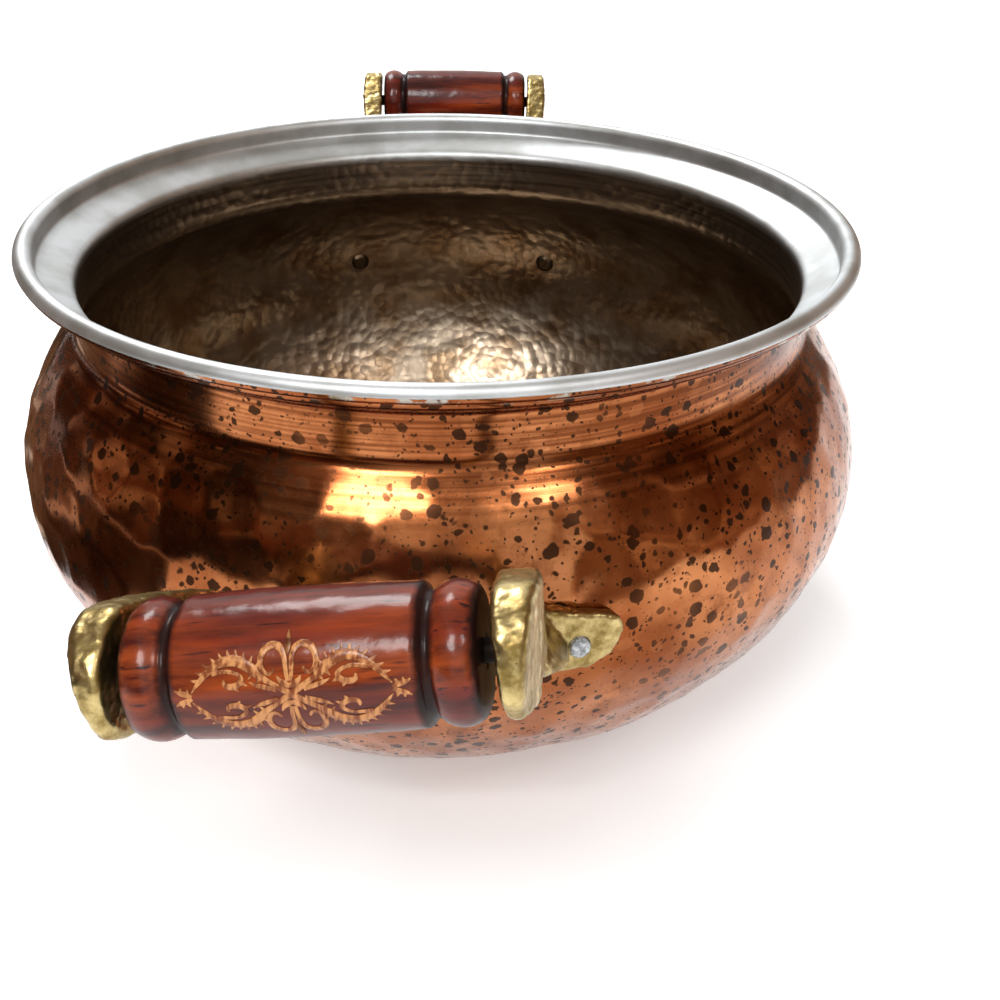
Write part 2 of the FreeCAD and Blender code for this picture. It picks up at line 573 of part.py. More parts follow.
def make_bracket(end, hand):
    side = sides[(end, hand)]
    label = "%s_%s_bracket" % (end, hand)
    body = new_body(label, handle_place(end))

    outline = draw_arm(body)
    inner = arm_inner[end]
    outer = inner + " + arm_width"
    mid = measure(inner + " + 0.5*arm_width")
    outline.sketch.AttachmentOffset = FreeCAD.Placement(
        FreeCAD.Vector(0, 0, side * mid[0]), FreeCAD.Rotation())
    outline.sketch.setExpression("AttachmentOffset.Base.z", "%d * (%s)" % (side, mid[1]))
    arm = body.newObject("PartDesign::Pad", label + "_arm")
    arm.Profile = outline.sketch
    arm.SideType = "Symmetric"
    arm.setExpression("Length", "Sizes.arm_width + 2 * Sizes.flank_spare")
    outline.sketch.Visibility = False
    doc.recompute()

    cut_flank(body, label + "_outer_flank", side, outer, outer + " - outer_flank", " + arm_width")
    flanked = cut_flank(body, label + "_inner_flank", side, inner, inner + " + inner_flank",
                        " - arm_width")
    doc.recompute()
    # The root's own edges stay sharp, because the belly trims them away. The seams that run
    # across the arm join faces that are already smooth.
    edges = []
    for index, edge in enumerate(flanked.Shape.Edges, start=1):
        middle = edge.valueAt((edge.FirstParameter + edge.LastParameter) / 2)
        box = edge.BoundBox
        across = box.XLength > max(box.YLength, box.ZLength)
        if middle.y > measure(ROOT_REACH)[0] + size["arm_edge"] and not across:
            edges.append("Edge%d" % index)
    rounding = body.newObject("PartDesign::Fillet", label + "_edges")
    rounding.Base = (flanked, edges)
    rounding.setExpression("Radius", "Sizes.arm_edge")
    doc.recompute()

    thin = Drawing(body, label + "_thinned_sketch", "XY_Plane")
    outside = signed(outer + " + flank_spare", side)
    corners = [(signed(outer, side), GRIP_REACH + " - thin_start"),
               (signed(outer + " - thin_depth", side), ROOT_REACH),
               (outside, ROOT_REACH), (outside, GRIP_REACH + " - thin_start")]
    close_outline(thin, corners)
    thinned = body.newObject("PartDesign::Pocket", label + "_thinned")
    thinned.Profile = thin.sketch
    thinned.SideType = "Symmetric"
    thinned.setExpression("Length", "Sizes.flank_cut")
    thin.sketch.Visibility = False

    tab_outline = draw_tab(body, end, side)
    tab = body.newObject("PartDesign::Pad", label + "_tab")
    tab.Profile = tab_outline.sketch
    tab.setExpression("Length", "Sizes.tab_depth")
    tab.Reversed = True
    tab_outline.sketch.Visibility = False

    # The pot's own outer face trims the root and the tab's underside.
    lean = tilts[end]
    foot = FreeCAD.Vector(heights[end] * sin(radians(lean)), -heights[end] * cos(radians(lean)), 0)
    belly = Drawing(body, label + "_seat_sketch", "XZ_Plane",
                    FreeCAD.Placement(foot, rotation((0, 0, 1), lean)))
    floor, wall = draw_wall(belly, " + seat_gap", " - seat_gap")
    rim = belly.sketch.getPoint(wall, END)
    level = belly.line((rim.x, rim.y), (0, rim.y))
    belly.rule("Coincident", wall, END, level, START)
    belly.rule("Horizontal", level)
    belly.on_upright(level, END)
    bottom = belly.sketch.getPoint(floor, START)
    axis = belly.line((0, rim.y), (0, bottom.y))
    belly.rule("Coincident", level, END, axis, START)
    belly.rule("Coincident", axis, END, floor, START)
    revolve(body, label + "_seat", belly, kind="PartDesign::Groove")

    socket = Drawing(body, label + "_socket_sketch", "YZ_Plane", FreeCAD.Placement(
        FreeCAD.Vector(0, 0, side * measure(inner)[0]), FreeCAD.Rotation()))
    socket.sketch.setExpression("AttachmentOffset.Base.z", "%d * (%s)" % (side, measure(inner)[1]))
    ring = socket.circle((grip_reach, 0), measure("rod_radius + socket_fit")[0])
    socket.place((ring, CENTRE), across=GRIP_REACH)
    socket.on_level(ring, CENTRE)
    socket.datum("Radius", (ring,), "rod_radius + socket_fit")
    hole = body.newObject("PartDesign::Pocket", label + "_socket")
    hole.Profile = socket.sketch
    hole.SideType = "Symmetric"
    hole.setExpression("Length", "2 * Sizes.socket_depth")
    socket.sketch.Visibility = False

    rivet = Drawing(body, label + "_rivet_sketch", "XY_Plane", tab_place(end, side))
    ring = rivet.circle((0, 0), measure("shank_radius + shank_fit")[0])
    rivet.at_origin(ring, CENTRE)
    rivet.datum("Radius", (ring,), "shank_radius + shank_fit")
    hole = body.newObject("PartDesign::Pocket", label + "_rivet_hole")
    hole.Profile = rivet.sketch
    hole.SideType = "Symmetric"
    hole.setExpression("Length", "Sizes.hole_length")
    rivet.sketch.Visibility = False
    return body


parts = [copper, tin, wire]
for end, hand in sides:
    parts.append(make_bracket(end, hand))

# Turned grips: an end bead, a groove, a barrel, a groove and an end bead, bored for the rod


def draw_grip(body):
    """Half section of the grip above its own axis, which is the sketch's horizontal axis."""
    offset = FreeCAD.Placement(FreeCAD.Vector(0, 0, -grip_reach), FreeCAD.Rotation())
    section = Drawing(body, body.Name + "_section", "XZ_Plane", offset)
    section.sketch.setExpression("AttachmentOffset.Base.z", "- " + measure(GRIP_REACH)[1].replace("+", "-"))
    bore = "rod_radius + rod_fit"
    groove = "barrel_radius - groove_depth"
    outer = "barrel_half + groove_width"
    corners = [("- grip_half", bore), ("- grip_half", "end_radius"), (signed(outer, -1), groove),
               ("- barrel_half", groove), ("- barrel_half", "barrel_radius"),
               ("barrel_half", "barrel_radius"), ("barrel_half", groove), (outer, groove),
               ("grip_half", "end_radius"), ("grip_half", bore)]
    crowns = {1: "bead_radius", 4: "barrel_radius + barrel_crown", 7: "bead_radius"}
    spots = []
    for across, up in corners:
        spots.append((measure(across)[0], measure(up)[0]))
    parts = []
    for index, spot in enumerate(spots):
        following = spots[(index + 1) % len(spots)]
        if index in crowns:
            parts.append(crown_between(section, spot, following, crowns[index]))
        else:
            parts.append((section.line(spot, following), START, END))
    for index, (item, first, last) in enumerate(parts):
        following = parts[(index + 1) % len(parts)]
        section.rule("Coincident", item, last, following[0], following[1])
        section.place((item, first), across=corners[index][0], up=corners[index][1])
    return section


def crown_between(section, a, b, height):
    """An arc from a to b that bulges to a given distance from the grip's axis at its middle."""
    top = measure(height)[0]
    middle = (a[0] + b[0]) / 2
    rise = top - (a[1] + b[1]) / 2
    half = (b[0] - a[0]) / 2
    radius = (half * half + rise * rise) / (2 * rise)
    crown = Part.Arc(point(a), point((middle, top)), point(b))
    item = section.sketch.addGeometry(crown, False)
    value = section.sketch.Geometry[item].Radius
    section.rule("Radius", item, value)
    first = section.sketch.getPoint(item, START)
    if abs(first.x - a[0]) < abs(first.x - b[0]):
        return item, START, END
    return item, END, START


for end in (FRONT, BACK):
    grip = new_body(end + "_grip", handle_place(end))
    section = draw_grip(grip)
    revolve(grip, end + "_grip_turned", section, axis="H_Axis")
    parts.append(grip)

# Steel rods, whose ends sit in the brackets' sockets

for end in (FRONT, BACK):
    rod = new_body(end + "_rod", handle_place(end))
    section = Drawing(rod, end + "_rod_section", "YZ_Plane")
    ring = section.circle((grip_reach, 0), size["rod_radius"])
    section.place((ring, CENTRE), across=GRIP_REACH)
    section.on_level(ring, CENTRE)
    section.datum("Radius", (ring,), "rod_radius")
    pad = rod.newObject("PartDesign::Pad", end + "_rod_bar")
    pad.Profile = section.sketch
    pad.SideType = "Symmetric"
    half = arm_inner[end] + " + socket_depth - socket_fit"
    pad.setExpression("Length", "2 * (%s)" % measure(half)[1])
    section.sketch.Visibility = False
    parts.append(rod)

# Rivets: a shank through tab, copper and tin, with a hammered head at each end

for (end, hand), side in sides.items():
    rivet = new_body("%s_%s_rivet" % (end, hand), handle_place(end).multiply(tab_place(end, side)))
    section = Drawing(rivet, rivet.Name + "_section", "XZ_Plane")
    inside = "- copper_sheet - tin_coat - head_gap"
    corners = [("0", inside + " - inner_head_height"),
               ("inner_head_flat", inside + " - inner_head_height"),
               ("inner_head_radius", inside), ("shank_radius", inside),
               ("shank_radius", "tab_thickness"), ("head_radius", "tab_thickness"),
               ("head_flat", "tab_thickness + head_height"), ("0", "tab_thickness + head_height")]
    spots = []
    for across, up in corners:
        spots.append((measure(across)[0], measure(up)[0]))
    lines = []
    for index, spot in enumerate(spots):
        lines.append(section.line(spot, spots[(index + 1) % len(spots)]))
    for index, line in enumerate(lines):
        section.rule("Coincident", line, END, lines[(index + 1) % len(lines)], START)
        if corners[index][0] == "0":
            section.on_upright(line, START)
            section.place((line, START), up=corners[index][1])
        else:
            section.place((line, START), across=corners[index][0], up=corners[index][1])
    revolve(rivet, rivet.Name + "_turned", section)
    parts.append(rivet)

# Check and export

doc.recompute()
failed = []
for item in doc.Objects:
    if "Invalid" in item.State or "Error" in item.State:
        failed.append(item.Name + " " + " ".join(item.State))
for part in parts:
    if part.Shape.isNull() or not part.Shape.isValid():
        failed.append(part.Label + " has no valid shape")
if failed:
    raise RuntimeError("; ".join(failed))

os.makedirs("parts", exist_ok=True)
for part in parts:
    part.Shape.exportStep("parts/%s.step" % part.Label)
    box = part.Shape.BoundBox
    print("%-22s volume %10.1f  z %7.2f to %7.2f  solids %d" % (
        part.Label, part.Shape.Volume, box.ZMin, box.ZMax, len(part.Shape.Solids)))
print("lip radius %.2f, lip height %.2f, base radius %.2f, belly height %.2f" % (
    lip_centre[0] + size["wire_radius"] + size["copper_sheet"],
    lip_height + size["wire_radius"] + size["copper_sheet"], base_radius, belly_height))
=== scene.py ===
import bpy
import json
import math
import mathutils
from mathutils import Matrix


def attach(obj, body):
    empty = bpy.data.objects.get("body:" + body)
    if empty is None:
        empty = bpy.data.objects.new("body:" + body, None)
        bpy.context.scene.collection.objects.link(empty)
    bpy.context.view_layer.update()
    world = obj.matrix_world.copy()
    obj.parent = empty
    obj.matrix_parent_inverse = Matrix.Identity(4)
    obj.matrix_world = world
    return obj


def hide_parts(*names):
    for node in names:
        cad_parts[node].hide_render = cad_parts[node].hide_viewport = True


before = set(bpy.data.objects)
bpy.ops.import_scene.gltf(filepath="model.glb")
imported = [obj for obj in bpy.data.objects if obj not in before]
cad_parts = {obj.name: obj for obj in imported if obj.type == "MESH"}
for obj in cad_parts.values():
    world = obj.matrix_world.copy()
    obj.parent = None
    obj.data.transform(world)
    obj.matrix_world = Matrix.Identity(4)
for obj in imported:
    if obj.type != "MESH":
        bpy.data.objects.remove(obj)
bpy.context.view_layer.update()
bpy.ops.object.select_all(action="DESELECT")

# Copper shell
# The pot's body, raised from one sheet of copper, hammered all over and polished.
# The lip is rolled outwards over a wire. Two rings of bends form the ledge for the lid.

MM = 0.001
FULL_TURN = 2 * math.pi


def start_line(name, x, z):
    """One vertex in the X-Z plane, from which a profile is drawn. Sizes are in millimetres."""
    bpy.ops.mesh.primitive_plane_add(size=MM, location=(x * MM, 0, z * MM))
    piece = bpy.context.object
    piece.name = name
    piece.data.name = name
    bpy.ops.object.transform_apply(location=True)
    bpy.ops.object.mode_set(mode="EDIT")
    bpy.ops.mesh.select_all(action="SELECT")
    bpy.ops.mesh.merge(type="CENTER")
    return piece


def line(x, z, steps=1):
    """Go on with the profile by a straight run of x across and z up."""
    for step in range(steps):
        bpy.ops.mesh.extrude_region_move(
            TRANSFORM_OT_translate={"value": (x * MM / steps, 0, z * MM / steps)})


def arc(x, z, turn, steps):
    """Go on with the profile round a centre. turn is in degrees, from X towards Z."""
    bpy.ops.mesh.spin(steps=steps, angle=math.radians(turn),
                      center=(x * MM, 0, z * MM), axis=(0, 1, 0))


def turn_round(axis, steps):
    """Turn the whole profile round an axis through the origin and close the seam."""
    bpy.ops.mesh.select_all(action="SELECT")
    bpy.ops.mesh.spin(steps=steps, angle=FULL_TURN, center=(0, 0, 0), axis=axis)
    bpy.ops.mesh.select_all(action="SELECT")
    bpy.ops.mesh.remove_doubles(threshold=0.01 * MM)
    bpy.ops.mesh.dissolve_degenerate(threshold=0.001 * MM)
    bpy.ops.mesh.select_all(action="SELECT")
    bpy.ops.mesh.normals_make_consistent(inside=False)
    bpy.ops.object.mode_set(mode="OBJECT")
    bpy.ops.object.shade_smooth()


def apply_all(piece):
    bpy.context.view_layer.objects.active = piece
    for modifier in list(piece.modifiers):
        bpy.ops.object.modifier_apply(modifier=modifier.name)


def pattern(name, kind, grain):
    """A procedural pattern for displacement, whose cells or lumps are grain millimetres wide."""
    texture = bpy.data.textures.new(name, kind)
    texture.noise_scale = grain * MM
    return texture


def displace(piece, texture, depth, middle, group=""):
    modifier = piece.modifiers.new(texture.name, "DISPLACE")
    modifier.texture = texture
    modifier.texture_coords = "LOCAL"
    modifier.strength = depth * MM
    modifier.mid_level = middle
    modifier.vertex_group = group
    apply_all(piece)


def weigh(piece, name, weight):
    """A vertex group whose weight is a function of the vertex's radius and height in mm."""
    group = piece.vertex_groups.new(name=name)
    for vertex in piece.data.vertices:
        radius = math.hypot(vertex.co.x, vertex.co.y) / MM
        group.add([vertex.index], weight(radius, vertex.co.z / MM), "REPLACE")


def ramp(value, low, high):
    return min(1.0, max(0.0, (value - low) / (high - low)))


copper = start_line("copper_shell", 0, 0)
line(56.537, 0, 8)
arc(56.537, 94.5, 72.19, 60)
arc(97, 81.5, 17.81, 8)
arc(82, 81.5, 47.57, 28)
arc(132.6, 136.859, -47.57, 7)
line(0, 11, 8)
arc(126.6, 147.859, -60, 3)
line(8.66, 5, 5)
arc(132.76, 157.189, 60, 4)
line(0, 3.6, 3)
arc(137.26, 160.789, -270, 20)
line(0, -1.2, 1)
arc(137.26, 160.789, 270, 16)
line(0, -3.6, 1)
arc(132.76, 157.189, -60, 3)
line(-8.66, -5, 2)
arc(126.6, 147.859, 60, 3)
line(0, -11, 3)
arc(132.6, 136.859, 47.57, 5)
arc(82, 81.5, -47.57, 10)
arc(97, 81.5, -17.81, 3)
arc(56.537, 94.5, -72.19, 20)
line(-56.537, 0, 4)
turn_round((0, 0, 1), 480)


def outer_wall(radius, height):
    """1 on the outer face of the belly, fading out at the neck and at the foot's edge."""
    inner = height > 1.1 and inside_wall(radius, height)
    if inner or height > 133:
        return 0.0
    return ramp(133 - height, 0, 14) * ramp(height, 0.5, 7)


def wall_radius(height, depth):
    """Radius of the belly's wall at a height, depth mm inside its outer face."""
    if height <= 65.594:
        reach = 94.5 - depth
        return 56.537 + math.sqrt(max(0.0, reach * reach - (height - 94.5) ** 2))
    reach, centre = (52 - depth, 97) if height <= 81.5 else (67 - depth, 82)
    return centre + math.sqrt(max(0.0, reach * reach - (height - 81.5) ** 2))


def inside_wall(radius, height):
    return radius < wall_radius(height, 0.6)


weigh(copper, "belly", outer_wall)
marks = pattern("hammer_marks", "VORONOI", 13)
marks.distance_metric = "DISTANCE_SQUARED"
displace(copper, marks, 1.0, 0.4, "belly")
dents = pattern("soft_dents", "CLOUDS", 17)
displace(copper, dents, 0.95, 0.75, "belly")
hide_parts("copper_body")
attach(copper, "pot")


def linear(hex_colour):
    """The linear colour of an sRGB hex such as "b87333"."""
    channels = []
    for start in (0, 2, 4):
        value = int(hex_colour[start:start + 2], 16) / 255
        channels.append(value / 12.92 if value <= 0.04045 else ((value + 0.055) / 1.055) ** 2.4)
    return (*channels, 1.0)


def node(material, kind, settings=None, **links):
    """Add a shader node, set its settings and inputs, and link the inputs named in links."""
    tree = material.node_tree
    made = tree.nodes.new("ShaderNode" + kind)
    for name, value in (settings or {}).items():
        if isinstance(name, str) and hasattr(made, name):
            setattr(made, name, value)
        else:
            made.inputs[name].default_value = value
    for name, source in links.items():
        socket = made.inputs[int(name[1:])] if name[1:].isdigit() else made.inputs[name.replace("_", " ")]
        tree.links.new(source, socket)
    return made


def new_material(name, **uniform):
    """A material of the shader's own sockets. uniform gives the values that are the same all over."""
    material = bpy.data.materials.new(name)
    material.use_nodes = True
    shader = material.node_tree.nodes["Principled BSDF"]
    for socket, value in uniform.items():
        shader.inputs[socket.replace("_", " ")].default_value = value
    return material, shader


def wire(material, source, shader, socket):
    material.node_tree.links.new(source, shader.inputs[socket])


def spots(material, place, cell, share, low, high, soft, seed):
    """1 inside scattered round spots. cell is their spacing, low and high their radii, in mm."""
    shifted = node(material, "Mapping", {1: (seed, seed * 0.7, seed * 1.3)}, _0=place)
    scale = 1 / (cell * MM)
    cells = node(material, "TexVoronoi", {"Scale": scale}, Vector=shifted.outputs[0])
    channels = node(material, "SeparateColor", {}, Color=cells.outputs["Color"])
    size = node(material, "MapRange", {3: low / cell, 4: high / cell}, _0=channels.outputs[0])
    kept = node(material, "Math", {"operation": "LESS_THAN", 1: share}, _0=channels.outputs[1])
    edge = node(material, "Math", {"operation": "SUBTRACT"}, _0=size.outputs[0], _1=cells.outputs["Distance"])
    inside = node(material, "MapRange", {1: 0.0, 2: soft / cell}, _0=edge.outputs[0])
    both = node(material, "Math", {"operation": "MULTIPLY"}, _0=inside.outputs[0], _1=kept.outputs[0])
    return both.outputs[0], edge.outputs[0], kept.outputs[0]


def warped(material, amount, grain):
    """Object coordinates pushed about by noise, so that round spots get ragged outlines."""
    place = node(material, "TexCoord").outputs["Object"]
    noise = node(material, "TexNoise", {"Scale": 1 / (grain * MM), "Detail": 3.0}, Vector=place)
    centred = node(material, "VectorMath", {"operation": "SUBTRACT", 1: (0.5, 0.5, 0.5)},
                   _0=noise.outputs["Color"])
    pushed = node(material, "VectorMath", {"operation": "MULTIPLY_ADD", 1: (amount * MM,) * 3},
                  _0=centred.outputs[0], _2=place)
    return place, pushed.outputs[0]


def blend(material, amount, under, over):
    """Colour under where amount is 0 and over where it is 1. Each is a hex or a node's output."""
    mixed = node(material, "Mix", {"data_type": "RGBA"})
    tree = material.node_tree
    for index, colour in ((6, under), (7, over)):
        if isinstance(colour, str):
            mixed.inputs[index].default_value = linear(colour)
        else:
            tree.links.new(colour, mixed.inputs[index])
    tree.links.new(amount, mixed.inputs[0])
    return mixed.outputs[2]


def most(material, first, *others):
    for other in others:
        first = node(material, "Math", {"operation": "MAXIMUM"}, _0=first, _1=other).outputs[0]
    return first


# Polished hammered copper: a warm orange-pink mirror, broken by dark brown oxide spots of all
# sizes, fine specks and the dried rims of drops.
polished, shader = new_material("polished_hammered_copper", Metallic=1.0)
place, ragged = warped(polished, 3.0, 4)
large = spots(polished, ragged, 6.0, 0.95, 0.8, 2.5, 0.25, 0.11)
middle = spots(polished, ragged, 3.2, 0.9, 0.4, 1.15, 0.2, 0.23)
small = spots(polished, ragged, 1.9, 0.9, 0.2, 0.6, 0.12, 0.37)
specks = spots(polished, place, 1.1, 0.7, 0.06, 0.22, 0.08, 0.61)
clouds = node(polished, "TexNoise", {"Scale": 1 / (45 * MM), "Detail": 3.0}, Vector=place)
crowd = node(polished, "MapRange", {1: 0.34, 2: 0.46, 3: 0.7}, _0=clouds.outputs["Fac"])
dark = most(polished, large[0], middle[0], small[0], specks[0])
dark = node(polished, "Math", {"operation": "MULTIPLY"}, _0=dark, _1=crowd.outputs[0]).outputs[0]
drops = spots(polished, ragged, 9, 0.8, 1.6, 3.9, 0.3, 0.53)
rim = node(polished, "MapRange", {1: 0.03, 2: 0.0}, _0=drops[1])
rim = node(polished, "Math", {"operation": "MULTIPLY"}, _0=rim.outputs[0], _1=drops[0]).outputs[0]
tone = node(polished, "TexNoise", {"Scale": 1 / (30 * MM), "Detail": 5.0}, Vector=place)
tone = node(polished, "MapRange", {1: 0.35, 2: 0.65}, _0=tone.outputs["Fac"])
colour = blend(polished, tone.outputs[0], "8a4a27", "bd794c")
stain = node(polished, "TexNoise", {"Scale": 1 / (12 * MM), "Detail": 6.0, "Roughness": 0.7}, Vector=ragged)
stain = node(polished, "MapRange", {1: 0.5, 2: 0.66, 4: 0.8}, _0=stain.outputs["Fac"])
colour = blend(polished, stain.outputs[0], colour, "7d4424")
height = node(polished, "SeparateXYZ", {}, _0=place).outputs["Z"]
rings = node(polished, "Mapping", {3: (0.06, 0.06, 5.0)}, _0=place)
rings = node(polished, "TexNoise", {"Scale": 1 / (7 * MM), "Detail": 4.0}, Vector=rings.outputs[0])
rings = node(polished, "MapRange", {1: 0.4, 2: 0.6, 4: 0.85}, _0=rings.outputs["Fac"])
spun = node(polished, "MapRange", {1: 118 * MM, 2: 128 * MM}, _0=height)
spun = node(polished, "Math", {"operation": "MULTIPLY"}, _0=rings.outputs[0], _1=spun.outputs[0]).outputs[0]
colour = blend(polished, spun, colour, "5f2f16")
film = node(polished, "Math", {"operation": "MULTIPLY", 1: 0.4}, _0=drops[0]).outputs[0]
colour = blend(polished, film, colour, "a0623c")
rim = node(polished, "Math", {"operation": "MULTIPLY", 1: 0.6}, _0=rim).outputs[0]
colour = blend(polished, rim, colour, "6b3a20")
dark = node(polished, "Math", {"operation": "MULTIPLY", 1: 0.92}, _0=dark).outputs[0]
colour = blend(polished, dark, colour, "2c1b11")
splash = node(polished, "TexNoise", {"Scale": 1 / (9 * MM), "Detail": 5.0}, Vector=ragged)
splash = node(polished, "MapRange", {1: 0.56, 2: 0.6}, _0=splash.outputs["Fac"])
under_lip = node(polished, "MapRange", {1: 156.5 * MM, 2: 158 * MM}, _0=height)
splash = node(polished, "Math", {"operation": "MULTIPLY"}, _0=splash.outputs[0], _1=under_lip.outputs[0]).outputs[0]
colour = blend(polished, splash, colour, "a8a49b")
wire(polished, colour, shader, "Base Color")
dull = node(polished, "MapRange", {3: 0.17, 4: 0.32}, _0=dark)
wire(polished, dull.outputs[0], shader, "Roughness")
copper.data.materials.clear()
copper.data.materials.append(polished)

# Tin lining
# The molten tin that is wiped over the inside and over the lip. It is thin and follows the
# hammered copper, so the inside shows small facets, and the ledge and the lip are smooth.

tin = start_line("tin_lining_wiped", 0, 1.25)
line(56.537, 0, 4)
arc(56.537, 94.5, 72.19, 20)
arc(97, 81.5, 17.81, 3)
arc(82, 81.5, 47.57, 10)
arc(132.6, 136.859, -47.57, 5)
line(0, 11, 3)
arc(126.6, 147.859, -60, 3)
line(8.66, 5, 2)
arc(132.76, 157.189, 60, 3)
line(0, 3.6, 1)
arc(137.26, 160.789, -180, 16)
line(0.2, 0, 1)
arc(137.26, 160.789, 180, 20)
line(0, -3.6, 3)
arc(132.76, 157.189, -60, 4)
line(-8.66, -5, 5)
arc(126.6, 147.859, 60, 4)
line(0, -11, 8)
arc(132.6, 136.859, 47.57, 8)
arc(82, 81.5, -47.57, 28)
arc(97, 81.5, -17.81, 8)
arc(56.537, 94.5, -72.19, 60)
line(-56.487, 0, 26)
line(-0.05, 0, 1)
turn_round((0, 0, 1), 420)


def inner_wall(radius, height):
    """1 on the inner face of the belly and the floor, fading out below the neck."""
    if height > 133 or radius > 147.7 or (height > 1.3 and radius > wall_radius(height, 1.33)):
        return 0.0
    if height < 1.3 and radius > 1:
        return 0.0
    return ramp(133 - height, 0, 10)


weigh(tin, "inside", inner_wall)
facets = pattern("planishing_facets", "VORONOI", 5)
facets.distance_metric = "DISTANCE_SQUARED"
displace(tin, facets, 0.55, 0.0, "inside")
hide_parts("tin_lining")
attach(tin, "pot")

# Wiped tin: grey and satin, brushed round the rim. Inside the belly it is worn thin, so that the copper warms it and it
# has gone brown, with streaks where the cloth went. Its darker colours inside and in the throat are partly painted
# shade of the pot's hollow.
wiped, shader = new_material("wiped_worn_tin", Metallic=1.0)
place = node(wiped, "TexCoord").outputs["Object"]
parts = node(wiped, "SeparateXYZ", {}, _0=place)
depth = node(wiped, "MapRange", {1: 0.150, 2: 0.146}, _0=parts.outputs["Z"]).outputs[0]
bands = node(wiped, "Mapping", {3: (0.15, 0.15, 6.0)}, _0=place)
streaks = node(wiped, "TexNoise", {"Scale": 1 / (9 * MM), "Detail": 4.0}, Vector=bands.outputs[0])
streaks = node(wiped, "MapRange", {1: 0.35, 2: 0.65}, _0=streaks.outputs["Fac"]).outputs[0]
smears = node(wiped, "TexNoise", {"Scale": 1 / (17 * MM), "Detail": 5.0}, Vector=place)
smears = node(wiped, "MapRange", {1: 0.42, 2: 0.62}, _0=smears.outputs["Fac"]).outputs[0]
rim_colour = blend(wiped, smears, "d2d6d8", "bcbfbe")
neck = node(wiped, "MapRange", {1: 0.120, 2: 0.134}, _0=parts.outputs["Z"]).outputs[0]
brushed_and_shaded = blend(wiped, streaks, "6f6357", "9a8f82")
wear_and_shade = blend(wiped, smears, "9c8c79", "806951")
wear_and_shade = blend(wiped, neck, wear_and_shade, brushed_and_shaded)
# Painted shade: below the rim the tin takes the darker inside colours, standing in for the shade inside the pot as well
# as for wear.
colour = blend(wiped, depth, rim_colour, wear_and_shade)
wire(wiped, colour, shader, "Base Color")
planished = node(wiped, "TexVoronoi", {"Scale": 1 / (4.2 * MM)}, Vector=place).outputs["Distance"]
planished = node(wiped, "Math", {"operation": "MULTIPLY"}, _0=planished, _1=depth).outputs[0]
bump = node(wiped, "Bump", {"Strength": 0.7, "Distance": 0.35 * MM}, Height=planished)
wire(wiped, bump.outputs[0], shader, "Normal")
dull = node(wiped, "MapRange", {3: 0.5, 4: 0.3}, _0=depth)
wire(wiped, dull.outputs[0], shader, "Roughness")
tin.data.materials.clear()
tin.data.materials.append(wiped)

# Wire in the lip
# A closed ring of steel wire, which the rolled copper hides all round.

steel, shader = new_material("drawn_steel", Metallic=1.0, Roughness=0.3)
shader.inputs["Base Color"].default_value = linear("9a9a98")


def dress(node_name, material):
    """Give a solid of the frame its real finish."""
    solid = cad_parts[node_name]
    for slot in solid.material_slots:
        slot.material = material


dress("rim_wire", steel)

# Brackets
# Four arms of sand-cast brass, each with a tab that lies on the belly. The castings are only
# lightly cleaned, so they are lumpy, with rounded edges and small pits.


def casting(node_name, name, grain, rounds, lump, lump_depth, swell=0.5, lean=None):
    """A piece cast or forged by hand: the solid's form, with soft edges and lumps."""
    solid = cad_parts[node_name]
    mesh = solid.data.copy()
    mesh.transform(solid.matrix_world)
    piece = bpy.data.objects.new(name, mesh)
    bpy.context.collection.objects.link(piece)
    bpy.ops.object.select_all(action="DESELECT")
    piece.select_set(True)
    bpy.context.view_layer.objects.active = piece
    bpy.ops.object.mode_set(mode="EDIT")
    bpy.ops.mesh.select_all(action="SELECT")
    bpy.ops.mesh.remove_doubles(threshold=0.01 * MM)
    bpy.ops.mesh.normals_make_consistent(inside=False)
    bpy.ops.object.mode_set(mode="OBJECT")
    remesh = piece.modifiers.new("remesh", "REMESH")
    remesh.mode = "VOXEL"
    remesh.voxel_size = grain * MM
    smooth = piece.modifiers.new("smooth", "SMOOTH")
    smooth.iterations = rounds
    apply_all(piece)
    if lean:
        lean(piece)
    lumps = pattern(name + "_lumps", "CLOUDS", lump)
    lumps.noise_depth = 2
    displace(piece, lumps, lump_depth, swell)
    bpy.ops.object.shade_smooth()
    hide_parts(node_name)
    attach(piece, "pot")
    return piece


# Sand-cast brass: a greenish yellow metal with a soft shine, pitted and darker in its hollows.
brass, shader = new_material("sand_cast_brass", Metallic=1.0)
place = node(brass, "TexCoord").outputs["Object"]
skin = node(brass, "TexNoise", {"Scale": 1 / (6 * MM), "Detail": 6.0, "Roughness": 0.65}, Vector=place)
skin = node(brass, "MapRange", {1: 0.38, 2: 0.62}, _0=skin.outputs["Fac"]).outputs[0]
pits = spots(brass, place, 2.6, 0.5, 0.1, 0.38, 0.15, 0.19)[0]
colour = blend(brass, skin, "86703e", "cab57e")
colour = blend(brass, pits, colour, "4d4023")
wire(brass, colour, shader, "Base Color")
dull = node(brass, "MapRange", {3: 0.45, 4: 0.28}, _0=skin)
wire(brass, dull.outputs[0], shader, "Roughness")
relief = node(brass, "TexNoise", {"Scale": 1 / (1.2 * MM), "Detail": 3.0}, Vector=place)
bump = node(brass, "Bump", {"Strength": 0.35, "Distance": 0.2 * MM}, Height=relief.outputs["Fac"])
wire(brass, bump.outputs[0], shader, "Normal")

ENDS = ("front", "back")
HANDS = ("left", "right")
PLACES = {"front": (172.85, 8.4, 140.6), "back": (-1.63, 0.0, 151.3)}
GRIP_REACH = 215.9
TOE_IN = {"front": 0.13, "back": 0.05}
SWELL = {"front": 0.1, "back": 0.5}


